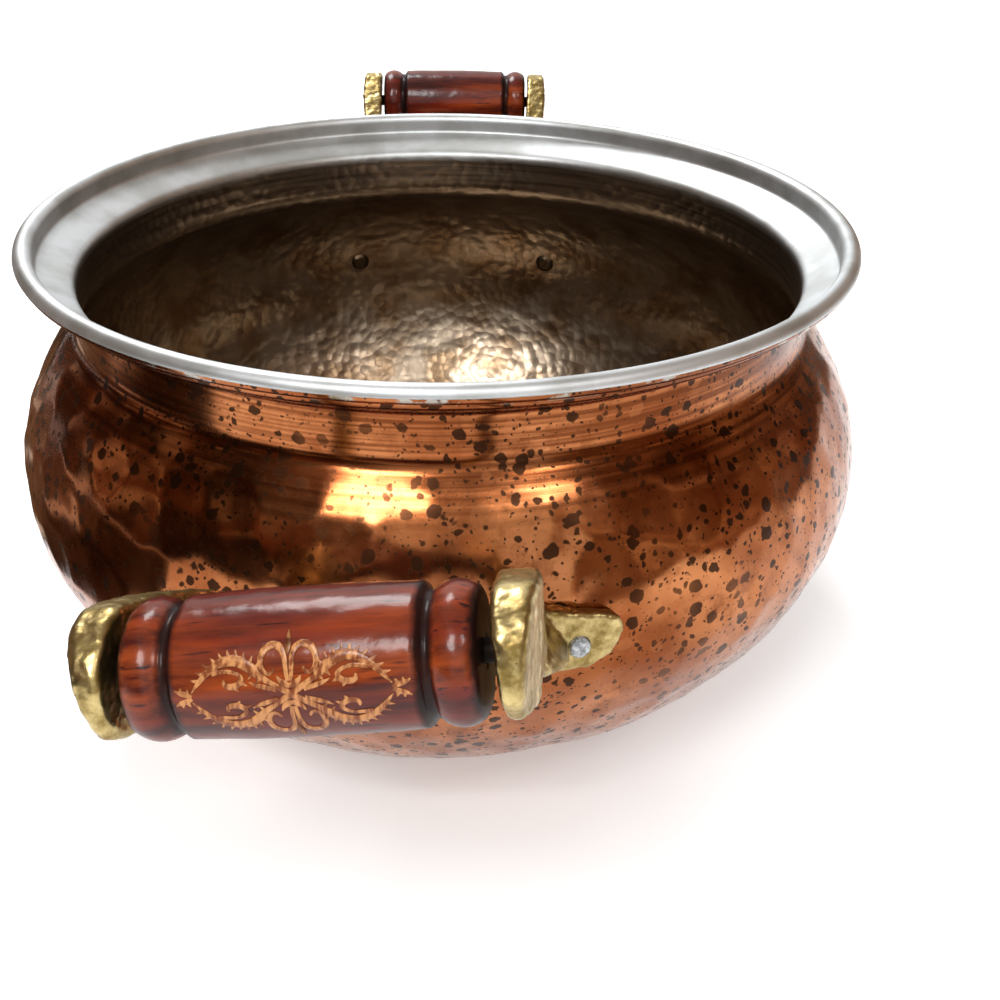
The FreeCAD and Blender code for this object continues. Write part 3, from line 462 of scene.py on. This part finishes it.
def grip_frame(end):
    """The frame whose X runs along the grip, Y away from the pot and Z up, on the grip's axis."""
    turn, tilt, height = PLACES[end]
    turned = (mathutils.Matrix.Rotation(math.radians(turn), 4, "Z")
              @ mathutils.Matrix.Rotation(math.radians(tilt), 4, "Y"))
    return (mathutils.Matrix.Translation((0, 0, height * MM)) @ turned
            @ mathutils.Matrix.Translation((0, GRIP_REACH * MM, 0)))


def toe_in(piece):
    """Lean the arm towards the grip's middle as it nears the pot. The tab keeps its place
    round the rivet."""
    end = piece.name.split("_")[0]
    place = grip_frame(end)
    slope = TOE_IN[end]
    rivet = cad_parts[piece.name.replace("cast_bracket", "rivet")]
    hole = sum((rivet.matrix_world @ vertex.co for vertex in rivet.data.vertices), mathutils.Vector())
    hole = place.inverted() @ (hole / len(rivet.data.vertices))
    piece.data.transform(place.inverted())
    for vertex in piece.data.vertices:
        behind = -vertex.co.y / MM
        behind = min(max(0.0, behind - 10), 33)
        side = 1 if vertex.co.x > 0 else -1
        share = ramp(53 - abs(vertex.co.x) / MM, 0, 5)
        from_hole = math.hypot(vertex.co.x - hole.x, vertex.co.z - hole.z) / MM
        shift = slope * behind * share * ramp(from_hole, 4, 13) * MM
        vertex.co.x -= side * shift
        vertex.co.y += 0.36 * shift * ramp(-vertex.co.y / MM, 40, 60)
    piece.data.transform(place)


for end in ENDS:
    for hand in HANDS:
        bracket = casting(end + "_" + hand + "_bracket", end + "_" + hand + "_cast_bracket", 0.5, 12, 4.2,
                          1.0, swell=SWELL[end], lean=toe_in)
        bracket.data.materials.clear()
        bracket.data.materials.append(brass)

# Rivets
# One aluminium rivet through each tab. Its outer head was hammered flat by hand.

# Hammered aluminium: pale grey, dull, with dark dirt in the dents.
aluminium, shader = new_material("hammered_aluminium", Metallic=1.0, Roughness=0.45)
place = node(aluminium, "TexCoord").outputs["Object"]
dirt = node(aluminium, "TexNoise", {"Scale": 1 / (1.5 * MM), "Detail": 5.0}, Vector=place)
dirt = node(aluminium, "MapRange", {1: 0.42, 2: 0.62}, _0=dirt.outputs["Fac"]).outputs[0]
flat = node(aluminium, "VectorMath", {"operation": "MULTIPLY", 1: (1, 1, 0)}, _0=place)
reach = node(aluminium, "VectorMath", {"operation": "LENGTH"}, _0=flat.outputs[0]).outputs["Value"]
inside = node(aluminium, "MapRange", {1: 147 * MM, 2: 146 * MM}, _0=reach).outputs[0]
colour = blend(aluminium, dirt, "85888a", "c5c8cb")
wire(aluminium, blend(aluminium, inside, colour, "4f4030"), shader, "Base Color")
for end in ENDS:
    for hand in HANDS:
        rivet = casting(end + "_" + hand + "_rivet", end + "_" + hand + "_hammered_rivet", 0.25, 4, 1.6, 0.5, swell=0.1)
        rivet.data.materials.clear()
        rivet.data.materials.append(aluminium)

# Rods
# A steel rod through each grip, on which it turns. Its ends sit in the brackets' sockets.

# Steel gone brown and dull with age.
rusty, shader = new_material("browned_steel", Metallic=1.0, Roughness=0.6)
shader.inputs["Base Color"].default_value = linear("2b2420")
for end in ENDS:
    dress(end + "_rod", rusty)

# Grips
# Turned hardwood: a barrel between two grooves and two end beads, bored for the rod, stained
# red-brown and lacquered. The grooves and the ends were blackened while it turned.

GRIP_HALF = 34.9


def lacquered(end):
    """Lacquered hardwood: deep red-brown streaked with orange along the grip, black in the
    grooves and at the ends, under a thick glossy lacquer."""
    material, shader = new_material(end + "_lacquered_hardwood", Roughness=0.5, Coat_Roughness=0.17,
                                    Specular_IOR_Level=0.1)
    inverse = grip_frame(end).inverted()
    place = node(material, "TexCoord").outputs["Object"]
    along = node(material, "Mapping", {1: inverse.translation, 2: inverse.to_euler()}, _0=place)
    stretched = node(material, "Mapping", {3: (0.13, 1.0, 1.0)}, _0=along.outputs[0])
    grain = node(material, "TexNoise", {"Scale": 1 / (4.5 * MM), "Detail": 6.0, "Roughness": 0.6},
                 Vector=stretched.outputs[0])
    grain = node(material, "MapRange", {1: 0.36, 2: 0.66}, _0=grain.outputs["Fac"]).outputs[0]
    broad = node(material, "TexNoise", {"Scale": 1 / (14 * MM), "Detail": 2.0}, Vector=stretched.outputs[0])
    broad = node(material, "MapRange", {1: 0.45, 2: 0.68}, _0=broad.outputs["Fac"]).outputs[0]
    colour = blend(material, grain, "370e07", "6e1c09")
    colour = blend(material, broad, colour, blend(material, grain, "4c1508", "a84915"))
    ticks = node(material, "Mapping", {3: (0.08, 1.0, 1.0), 1: (0.4, 0.2, 0.1)}, _0=along.outputs[0])
    ticks = node(material, "TexNoise", {"Scale": 1 / (1.3 * MM), "Detail": 2.0}, Vector=ticks.outputs[0])
    ticks = node(material, "MapRange", {1: 0.63, 2: 0.72}, _0=ticks.outputs["Fac"]).outputs[0]
    colour = blend(material, ticks, colour, "2a0b07")
    axis = node(material, "SeparateXYZ", {}, _0=along.outputs[0]).outputs[0]
    axis = node(material, "Math", {"operation": "ABSOLUTE"}, _0=axis).outputs[0]
    wander = node(material, "TexNoise", {"Scale": 1 / (5 * MM), "Detail": 3.0}, Vector=along.outputs[0])
    wander = node(material, "MapRange", {3: -0.9 * MM, 4: 0.9 * MM}, _0=wander.outputs["Fac"]).outputs[0]
    axis = node(material, "Math", {"operation": "ADD"}, _0=axis, _1=wander).outputs[0]
    groove = node(material, "Math", {"operation": "SUBTRACT", 1: 24.9 * MM}, _0=axis)
    groove = node(material, "Math", {"operation": "ABSOLUTE"}, _0=groove.outputs[0])
    groove = node(material, "MapRange", {1: 2.4 * MM, 2: 1.1 * MM}, _0=groove.outputs[0]).outputs[0]
    ends = node(material, "MapRange", {1: 33.2 * MM, 2: 34.5 * MM}, _0=axis).outputs[0]
    black = most(material, groove, ends)
    black = node(material, "Math", {"operation": "MULTIPLY", 1: 0.93}, _0=black).outputs[0]
    wire(material, blend(material, black, colour, "140a0a"), shader, "Base Color")
    gloss = node(material, "MapRange", {3: 0.48, 4: 0.15}, _0=black).outputs[0]
    wire(material, gloss, shader, "Coat Weight")
    relief = node(material, "TexNoise", {"Scale": 1 / (2.2 * MM), "Detail": 3.0}, Vector=along.outputs[0])
    bump = node(material, "Bump", {"Strength": 0.25, "Distance": 0.25 * MM}, Height=relief.outputs["Fac"])
    wire(material, bump.outputs[0], shader, "Coat Normal")
    return material


grip = start_line("turned_grip", -GRIP_HALF, 2.6)
line(0, 9.4, 5)
line(0.59, 1.05, 2)
arc(-30.4, 8.05, -75, 16)
line(0.5, -0.5, 1)
line(1.2, 0, 2)
line(0.9, 1.3, 2)
line(0.6, 0.42, 2)
arc(0, -592.81, -4.41, 48)
line(0.6, -0.42, 2)
line(0.9, -1.3, 2)
line(1.2, 0, 2)
line(0.5, 0.5, 1)
arc(30.4, 8.05, -75, 16)
line(0.59, -1.05, 2)
line(0, -9.4, 5)
line(-69.8, 0, 14)
turn_round((1, 0, 0), 132)
waves = pattern("turning_waves", "CLOUDS", 7)
displace(grip, waves, 0.35, 0.5)


def put_in_place(piece, end, name):
    """A copy of a piece modelled on the X axis, with its own mesh, moved to a grip's place."""
    mesh = piece.data.copy()
    mesh.transform(grip_frame(end))
    mesh.name = name
    moved = bpy.data.objects.new(name, mesh)
    bpy.context.collection.objects.link(moved)
    return moved


wood = {}
for end in ENDS:
    wood[end] = lacquered(end)
    turned = put_in_place(grip, end, end + "_turned_grip")
    turned.data.materials.clear()
    turned.data.materials.append(wood[end])
    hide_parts(end + "_grip")
    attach(turned, end + "_grip")
bpy.data.objects.remove(grip)

# Scrollwork on the grips
# A traditional ornament cut through the stain on the outward side of each barrel and left in the
# wood's own tan: a bud, a heart of two loops and feathered side scrolls, mirrored below.

# Each stroke lists (along, up, width) in mm from the ornament's middle. Only a quarter is drawn.
STROKES = [
    [(0.35, 2.6, 0.9), (0.55, 4.8, 1.0), (0.7, 7.0, 1.2), (1.3, 8.8, 1.6), (2.9, 9.6, 1.8), (4.6, 8.8, 1.6),
     (5.5, 6.8, 1.4), (5.2, 4.9, 1.1), (4.1, 3.9, 0.9), (3.0, 4.3, 0.8), (2.8, 5.1, 0.5)],
    [(0.0, 1.6, 1.0), (0.8, 1.9, 1.8), (1.9, 2.7, 1.0), (2.3, 3.6, 0.3)],
    [(0.0, 7.6, 0.5), (0.0, 8.8, 1.4), (0.0, 10.4, 1.2), (0.0, 12.2, 0.2)],
    [(0.0, 0.0, 1.6), (1.4, 0.9, 1.5), (2.8, 1.8, 1.2), (4.6, 2.9, 1.3), (6.2, 4.2, 2.0), (7.6, 5.6, 2.5),
     (9.8, 6.8, 2.6), (12.2, 6.9, 2.3), (14.4, 6.0, 1.9), (16.4, 4.4, 1.5), (18.2, 2.4, 0.9), (19.4, 1.0, 0.2)],
    [(15.0, 4.6, 1.2), (12.8, 5.0, 1.0), (10.4, 4.6, 0.9), (9.0, 3.5, 1.1), (9.8, 2.2, 1.4), (11.6, 1.8, 1.5),
     (13.0, 2.5, 1.0), (12.6, 3.3, 0.4)],
    [(2.6, 0.8, 0.9), (4.6, 1.5, 1.3), (6.4, 1.9, 1.0), (7.8, 2.7, 0.2)],
    [(19.4, 0.2, 0.9), (20.6, 0.8, 1.5), (21.8, 1.0, 1.1), (22.8, 1.7, 0.3)],
]
# Feathers are short strokes from a broad foot to a point: foot along and up, point along and up.
FEATHERS = [
    (6.6, 4.9, 5.6, 6.4), (7.6, 5.8, 6.9, 7.6), (8.9, 6.6, 8.5, 8.4), (10.2, 7.1, 10.2, 8.9),
    (11.5, 7.2, 11.9, 8.9), (12.8, 6.9, 13.6, 8.4), (14.1, 6.3, 15.2, 7.6), (15.3, 5.4, 16.8, 6.4),
    (16.5, 4.3, 18.2, 5.0), (17.5, 3.1, 19.3, 3.5), (6.9, 4.4, 7.9, 3.2), (5.6, 3.4, 6.5, 2.4),
    (9.4, 2.6, 8.2, 2.0), (10.6, 1.8, 10.0, 0.9), (20.4, 0.9, 19.9, 1.9), (21.4, 1.2, 21.4, 2.1),
]
ORNAMENT_TURN = math.radians(14)
BARREL = 14.82
for along, up, point_along, point_up in FEATHERS:
    middle = ((along + point_along) / 2, (up + point_up) / 2)
    STROKES.append([(along, up, 1.2), (*middle, 0.8), (point_along, point_up, 0.15)])

drawn = bpy.data.curves.new("scrollwork", "CURVE")
drawn.dimensions = "3D"
drawn.bevel_depth = 0.5 * MM
drawn.bevel_resolution = 2
drawn.use_fill_caps = True
drawn.resolution_u = 5
for stroke in STROKES:
    for across in (1, -1):
        for over in (1, -1):
            spline = drawn.splines.new("NURBS")
            spline.points.add(len(stroke) - 1)
            for point, (along, up, width) in zip(spline.points, stroke):
                point.co = (across * along * MM, 0, over * up * MM, 1)
                point.radius = width * 0.9
            spline.order_u = 3
            spline.use_endpoint_u = True
ornament = bpy.data.objects.new("scrollwork", drawn)
bpy.context.collection.objects.link(ornament)
bpy.ops.object.select_all(action="DESELECT")
ornament.select_set(True)
bpy.context.view_layer.objects.active = ornament
bpy.ops.object.convert(target="MESH")
ornament = bpy.context.object
# Lay the flat drawing round the barrel, flattened to a thin relief.
for vertex in ornament.data.vertices:
    along, out, up = (coordinate / MM for coordinate in vertex.co)
    radius = BARREL - 0.45 * (along / 23.5) ** 2 + 0.04 + 0.14 * out
    angle = ORNAMENT_TURN + up / BARREL
    vertex.co = (along * MM, radius * math.cos(angle) * MM, radius * math.sin(angle) * MM)
bpy.ops.object.shade_smooth()


def bared(end):
    """Bare wood under the lacquer: a tan ground with short slanting cuts."""
    material, shader = new_material(end + "_bared_wood", Roughness=0.5, Coat_Weight=0.4, Coat_Roughness=0.2,
                                    Specular_IOR_Level=0.1)
    place = node(material, "TexCoord").outputs["Object"]
    slant = node(material, "Mapping", {2: (0.0, 0.7, 0.0), 3: (1.0, 1.0, 0.2)}, _0=place)
    cuts = node(material, "TexNoise", {"Scale": 1 / (1.1 * MM), "Detail": 3.0}, Vector=slant.outputs[0])
    cuts = node(material, "MapRange", {1: 0.4, 2: 0.6}, _0=cuts.outputs["Fac"]).outputs[0]
    wire(material, blend(material, cuts, "7c4020", "c98a55"), shader, "Base Color")
    return material


for end in ENDS:
    laid = put_in_place(ornament, end, end + "_scrollwork")
    laid.data.materials.clear()
    laid.data.materials.append(bared(end))
    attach(laid, end + "_grip")
bpy.data.objects.remove(ornament)

# Floor and dark cards
# A white table, and dark cards round the pot that only its polished metal shows, as the room's
# darker sides do in the photograph.

bpy.ops.mesh.primitive_plane_add(size=8, location=(0, 0, 0))
floor = bpy.context.object
floor.name = "white_table"
table, shader = new_material("white_table", Roughness=0.9, Emission_Strength=0.0)
shader.inputs["Base Color"].default_value = linear("f4f4f4")
shader.inputs["Emission Color"].default_value = (1, 1, 1, 1)
rays = node(table, "LightPath")
seen = most(table, rays.outputs["Is Camera Ray"], rays.outputs["Is Glossy Ray"], rays.outputs["Is Transmission Ray"])
lift = node(table, "Math", {"operation": "MULTIPLY", 1: 0.35}, _0=seen)
wire(table, lift.outputs[0], shader, "Emission Strength")
floor.data.materials.append(table)


def card(made, darkest, palest):
    """Let only polished surfaces see this stage piece: patches of two colours, with pale gleams."""
    material, shader = new_material(made.name, Roughness=1.0, Emission_Strength=1.0)
    shader.inputs["Base Color"].default_value = (0, 0, 0, 1)
    shader.inputs["Specular IOR Level"].default_value = 0.0
    place = node(material, "TexCoord").outputs["Object"]
    patches = node(material, "TexNoise", {"Scale": 2.2, "Detail": 4.0}, Vector=place)
    patches = node(material, "MapRange", {1: 0.42, 2: 0.62}, _0=patches.outputs["Fac"])
    gleams = node(material, "TexNoise", {"Scale": 5.5, "Detail": 2.0}, Vector=place)
    gleams = node(material, "MapRange", {1: 0.6, 2: 0.63}, _0=gleams.outputs["Fac"])
    dim = blend(material, patches.outputs[0], darkest, palest)
    wire(material, blend(material, gleams.outputs[0], dim, "f2dcc4"), shader, "Emission Color")
    made.data.materials.append(material)
    made.visible_camera = False
    made.visible_diffuse = False
    made.visible_shadow = False
    made.visible_transmission = False


WALLS = (("left_wall", 15, 150, "1d100a", "74482a"), ("right_wall", -150, -26, "6a4c38", "b08c6e"))
for name, low, high, darkest, palest in WALLS:
    wall = start_line(name, 0, 20)
    line(0, 2200, 1)
    bpy.ops.mesh.select_all(action="SELECT")
    bpy.ops.transform.translate(value=(0, -1.3, 0))
    bpy.ops.transform.rotate(value=math.radians(low), orient_axis="Z", center_override=(0, 0, 0))
    bpy.ops.mesh.spin(steps=24, angle=math.radians(high - low), center=(0, 0, 0), axis=(0, 0, 1))
    bpy.ops.object.mode_set(mode="OBJECT")
    card(wall, darkest, palest)
bpy.ops.mesh.primitive_circle_add(vertices=48, radius=1.2, fill_type="NGON", location=(0, 0.1, 2.1))
ceiling = bpy.context.object
ceiling.name = "ceiling"
card(ceiling, "4a4038", "aca295")
# The left part of the table, which the lower belly shows dark.
cloth = start_line("dark_cloth", -200, 2)
line(-1050, 0, 1)
bpy.ops.mesh.select_all(action="SELECT")
bpy.ops.transform.rotate(value=math.radians(-30), orient_axis="Z", center_override=(0, 0, 0))
bpy.ops.mesh.spin(steps=24, angle=math.radians(85), center=(0, 0, 0), axis=(0, 0, 1))
bpy.ops.object.mode_set(mode="OBJECT")
card(cloth, "2a1a10", "7d5a40")

# Light
# One large soft lamp over the front left, a weaker one on the right and one behind.


def lamp(name, place, power, width):
    bpy.ops.object.light_add(type="AREA", location=place)
    made = bpy.context.object
    made.name = name
    made.data.energy = power
    made.data.size = width
    aim = mathutils.Vector((0, 0, 0.1)) - mathutils.Vector(place)
    made.rotation_euler = aim.to_track_quat("-Z", "Y").to_euler()


lamp("key", (-0.35, -0.9, 1.1), 9, 0.4)
lamp("fill", (0.5, -0.8, 1.1), 2.5, 0.25)
lamp("behind", (-0.45, 1.0, 1.4), 16, 0.6)

world = bpy.data.worlds.new("studio")
bpy.context.scene.world = world
world.use_nodes = True
background = world.node_tree.nodes["Background"]
background.inputs["Color"].default_value = (1, 1, 1, 1)
rays = node(world, "LightPath")
seen = most(world, rays.outputs["Is Camera Ray"], rays.outputs["Is Glossy Ray"], rays.outputs["Is Transmission Ray"])
level = node(world, "MapRange", {3: 0.55, 4: 1.0}, _0=seen)
world.node_tree.links.new(level.outputs[0], background.inputs["Strength"])

# Camera
# Close to the pot and above it, looking down into it, as the photograph was taken.

bpy.ops.object.camera_add(location=(0.0, -0.4029, 0.2924))
camera = bpy.context.object
camera.name = "camera"
yaw, pitch, roll = 0.059, 0.5144, 0.020
forward = mathutils.Vector((math.sin(yaw) * math.cos(pitch), math.cos(yaw) * math.cos(pitch), -math.sin(pitch)))
level = mathutils.Vector((math.cos(yaw), -math.sin(yaw), 0.0))
right = math.cos(roll) * level + math.sin(roll) * level.cross(forward)
up = right.cross(forward)
camera.rotation_euler = mathutils.Matrix((right, up, -forward)).transposed().to_euler()
camera.data.sensor_width = 36.0
camera.data.lens = 43.2
camera.data.shift_x = -0.0077
camera.data.shift_y = -0.0398
camera.data.clip_start = 0.01
bpy.context.scene.camera = camera
bpy.context.scene.view_settings.view_transform = "Standard"
